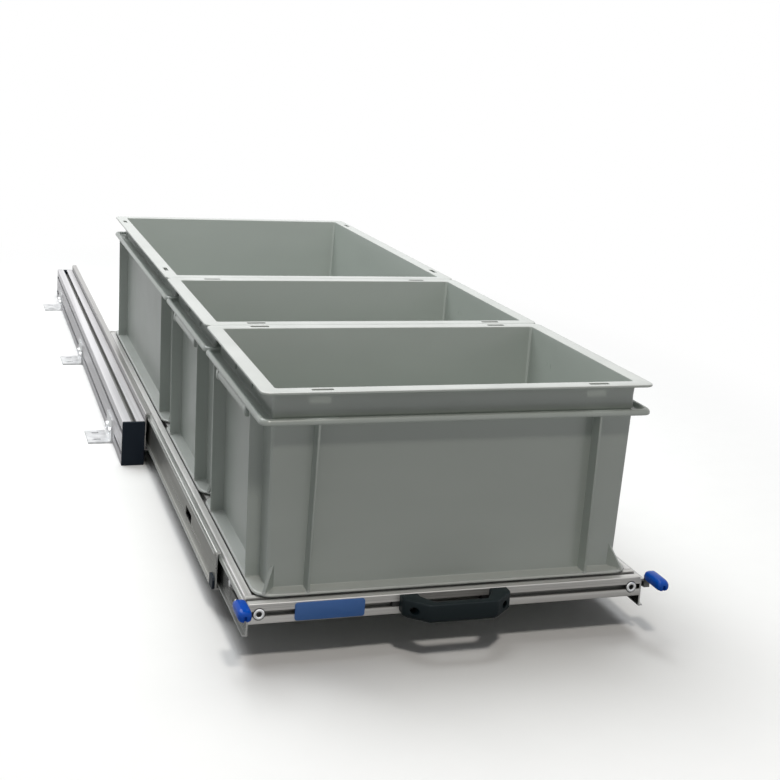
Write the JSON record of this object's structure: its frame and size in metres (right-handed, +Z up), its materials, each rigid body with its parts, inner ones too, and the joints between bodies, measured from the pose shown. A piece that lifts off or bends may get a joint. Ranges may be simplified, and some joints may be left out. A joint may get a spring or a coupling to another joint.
{
  "type": "pull-out bin frame",
  "caption": "Low drawer frame with open stacking bins on an aluminium tray that runs out on ball slides between two floor profiles, with a pull handle and lock levers.",
  "frame": {"origin": "middle of the bounding box in X and Y, at floor level, with the tray pulled out as in the picture", "axes": "+Z up; -Y to the front, where the pull handle is and where the tray comes out; +X to the right"},
  "size_m": [0.834, 2.494, 0.39],
  "materials": {
    "profile": "natural anodised, fine lengthwise lines",
    "slide_steel": "bright zinc plated",
    "ball_steel": "polished",
    "zinc_steel": "bright zinc plated",
    "bin_plastic": "fine matt, light grey",
    "black_plastic": "fine matt",
    "grip_blue": "smooth",
    "plate_blue": "smooth, bare",
    "bumper_rubber": "matt"
  },
  "bodies": {
    "base": {"bracket_screws": "zinc_steel", "bracket_slot_nuts": "zinc_steel", "end_cap_front_left": "black_plastic", "end_cap_front_right": "black_plastic", "end_cap_rear_left": "black_plastic", "end_cap_rear_right": "black_plastic", "foot_bracket_front_left": "zinc_steel", "foot_bracket_front_right": "zinc_steel", "foot_bracket_middle_left": "zinc_steel", "foot_bracket_middle_right": "zinc_steel", "foot_bracket_rear_left": "zinc_steel", "foot_bracket_rear_right": "zinc_steel", "profile_left": "profile", "profile_right": "profile", "rear_bumper_left": "bumper_rubber", "rear_bumper_right": "bumper_rubber", "slide_outer_left": "slide_steel", "slide_outer_right": "slide_steel", "slide_outer_screws": "zinc_steel", "slide_outer_slot_nuts": "zinc_steel"},
    "outer_cage_left": {"outer_cage_left": "slide_steel", "outer_balls_left": "ball_steel"},
    "middle_left": {"slide_middle_left": "slide_steel", "catch_block_left": "black_plastic"},
    "inner_cage_left": {"inner_cage_left": "slide_steel", "inner_balls_left": "ball_steel"},
    "lever_left": {"lever_strip_left": "zinc_steel", "lever_grip_left": "grip_blue"},
    "outer_cage_right": {"outer_cage_right": "slide_steel", "outer_balls_right": "ball_steel"},
    "middle_right": {"slide_middle_right": "slide_steel", "catch_block_right": "black_plastic"},
    "inner_cage_right": {"inner_cage_right": "slide_steel", "inner_balls_right": "ball_steel"},
    "lever_right": {"lever_strip_right": "zinc_steel", "lever_grip_right": "grip_blue"},
    "bin_front": {"bin_front": "bin_plastic"},
    "bin_middle": {"bin_middle": "bin_plastic"},
    "bin_rear": {"bin_rear": "bin_plastic"},
    "tray": {"corner_discs": "zinc_steel", "corner_screws": "zinc_steel", "crossbar_front": "profile", "crossbar_rear": "profile", "crossbar_screws": "zinc_steel", "handle_screws": "zinc_steel", "handle_slot_nuts": "zinc_steel", "lever_pins": "zinc_steel", "lever_springs": "zinc_steel", "name_plate": "plate_blue", "pull_handle": "black_plastic", "slide_inner_left": "slide_steel", "slide_inner_right": "slide_steel", "slide_inner_screws": "zinc_steel", "slide_inner_slot_nuts": "zinc_steel", "tray_bar_front": "profile", "tray_bar_rear": "profile", "tray_rail_left": "profile", "tray_rail_right": "profile"}
  },
  "joints": [
    {"name": "middle_left_slide", "type": "slide", "parent": "base", "child": "middle_left", "axis": [0, -1, 0], "range_m": [-0.676, 0.124]},
    {"name": "middle_right_slide", "type": "slide", "parent": "base", "child": "middle_right", "axis": [0, -1, 0], "range_m": [-0.676, 0.124]},
    {"name": "outer_cage_left_slide", "type": "slide", "parent": "base", "child": "outer_cage_left", "axis": [0, -1, 0], "range_m": [-0.338, 0.062]},
    {"name": "outer_cage_right_slide", "type": "slide", "parent": "base", "child": "outer_cage_right", "axis": [0, -1, 0], "range_m": [-0.338, 0.062]},
    {"name": "tray_slide", "type": "slide", "parent": "middle_left", "child": "tray", "axis": [0, -1, 0], "range_m": [-0.166, 0.634]},
    {"name": "inner_cage_left_slide", "type": "slide", "parent": "middle_left", "child": "inner_cage_left", "axis": [0, -1, 0], "range_m": [-0.083, 0.317]},
    {"name": "inner_cage_right_slide", "type": "slide", "parent": "middle_right", "child": "inner_cage_right", "axis": [0, -1, 0], "range_m": [-0.083, 0.317]},
    {"name": "lever_left_hinge", "type": "hinge", "parent": "tray", "child": "lever_left", "pos_m": [-0.309, -1.154, 0.074], "axis": [1, 0, 0], "range_deg": [0, 7], "stiffness_Nm_per_rad": 0.5, "springref_deg": -11.46},
    {"name": "lever_right_hinge", "type": "hinge", "parent": "tray", "child": "lever_right", "pos_m": [0.309, -1.154, 0.074], "axis": [1, 0, 0], "range_deg": [0, 7], "stiffness_Nm_per_rad": 0.5, "springref_deg": -11.46},
    {"name": "bin_front_lift", "type": "slide", "parent": "tray", "child": "bin_front", "axis": [0, 0, 1], "range_m": [0, 0.34]},
    {"name": "bin_middle_lift", "type": "slide", "parent": "tray", "child": "bin_middle", "axis": [0, 0, 1], "range_m": [0, 0.34]},
    {"name": "bin_rear_lift", "type": "slide", "parent": "tray", "child": "bin_rear", "axis": [0, 0, 1], "range_m": [0, 0.34]}
  ],
  "couplings": [
    {"joint": "middle_right_slide", "follows": "middle_left_slide", "ratio": 1},
    {"joint": "outer_cage_left_slide", "follows": "middle_left_slide", "ratio": 0.5},
    {"joint": "outer_cage_right_slide", "follows": "middle_left_slide", "ratio": 0.5},
    {"joint": "inner_cage_left_slide", "follows": "tray_slide", "ratio": 0.5},
    {"joint": "inner_cage_right_slide", "follows": "tray_slide", "ratio": 0.5}
  ]
}
